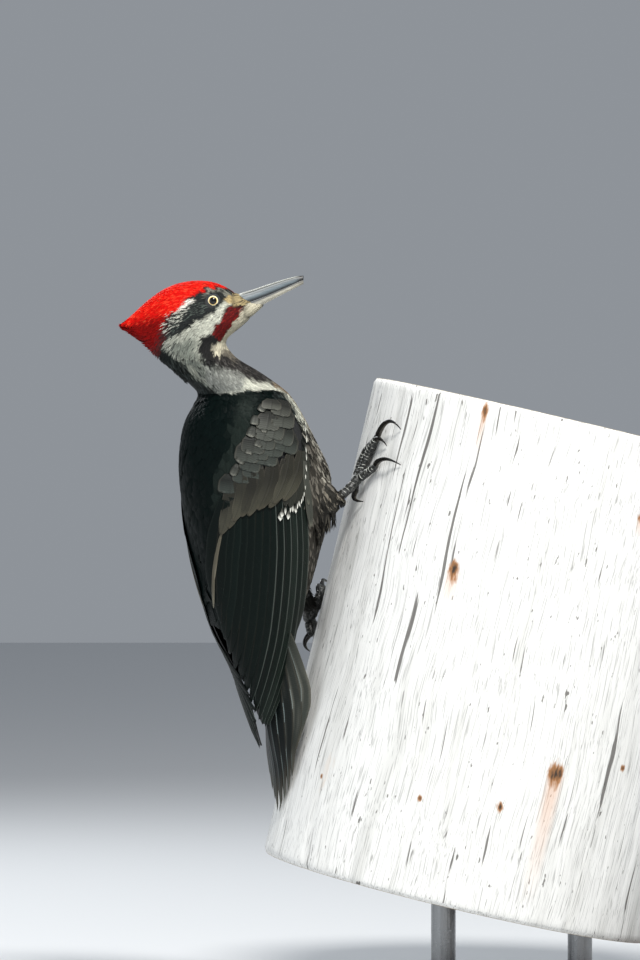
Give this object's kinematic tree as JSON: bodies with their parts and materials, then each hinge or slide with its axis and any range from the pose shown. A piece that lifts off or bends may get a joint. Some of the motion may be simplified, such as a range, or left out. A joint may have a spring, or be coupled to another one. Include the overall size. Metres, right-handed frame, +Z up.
{
  "type": "pileated woodpecker",
  "caption": "Life-size male pileated woodpecker clinging to a cut length of weathered round pole, held by rods over a flat display base",
  "frame": {"origin": "centre of the display base's underside, on the floor", "axes": "+Z up; +X the way the bill points and the side the pole stands on; -Y the bird's right side, which is seen first"},
  "size_m": [0.4662, 0.29, 0.5278],
  "materials": {
    "plumage_black": "soft sheen",
    "plumage_wing": "soft sheen",
    "plumage_red": "soft sheen",
    "horn": "satin",
    "horn_pale": "satin",
    "eye": "wet gloss",
    "foot_scale": "matt scales",
    "claw_horn": "gloss",
    "pole_timber": "weathered",
    "base_board": "dark stain",
    "rod_steel": "brushed"
  },
  "bodies": {
    "root": {"bill_lower": "horn_pale", "bill_upper": "horn", "claw1_left": "claw_horn", "claw1_right": "claw_horn", "claw2_left": "claw_horn", "claw2_right": "claw_horn", "claw3_left": "claw_horn", "claw3_right": "claw_horn", "claw4_left": "claw_horn", "claw4_right": "claw_horn", "crest": "plumage_red", "eye_left": "eye", "eye_right": "eye", "head": "plumage_black", "neck": "plumage_black", "perch_pole": "pole_timber", "stand_base": "base_board", "stand_rod_left": "rod_steel", "stand_rod_right": "rod_steel", "tail": "plumage_wing", "tarsus_left": "foot_scale", "tarsus_right": "foot_scale", "thigh_left": "plumage_black", "thigh_right": "plumage_black", "toe1_left": "foot_scale", "toe1_right": "foot_scale", "toe2_left": "foot_scale", "toe2_right": "foot_scale", "toe3_left": "foot_scale", "toe3_right": "foot_scale", "toe4_left": "foot_scale", "toe4_right": "foot_scale", "trunk": "plumage_black", "wing_left": "plumage_wing", "wing_right": "plumage_wing"}
  },
  "joints": []
}
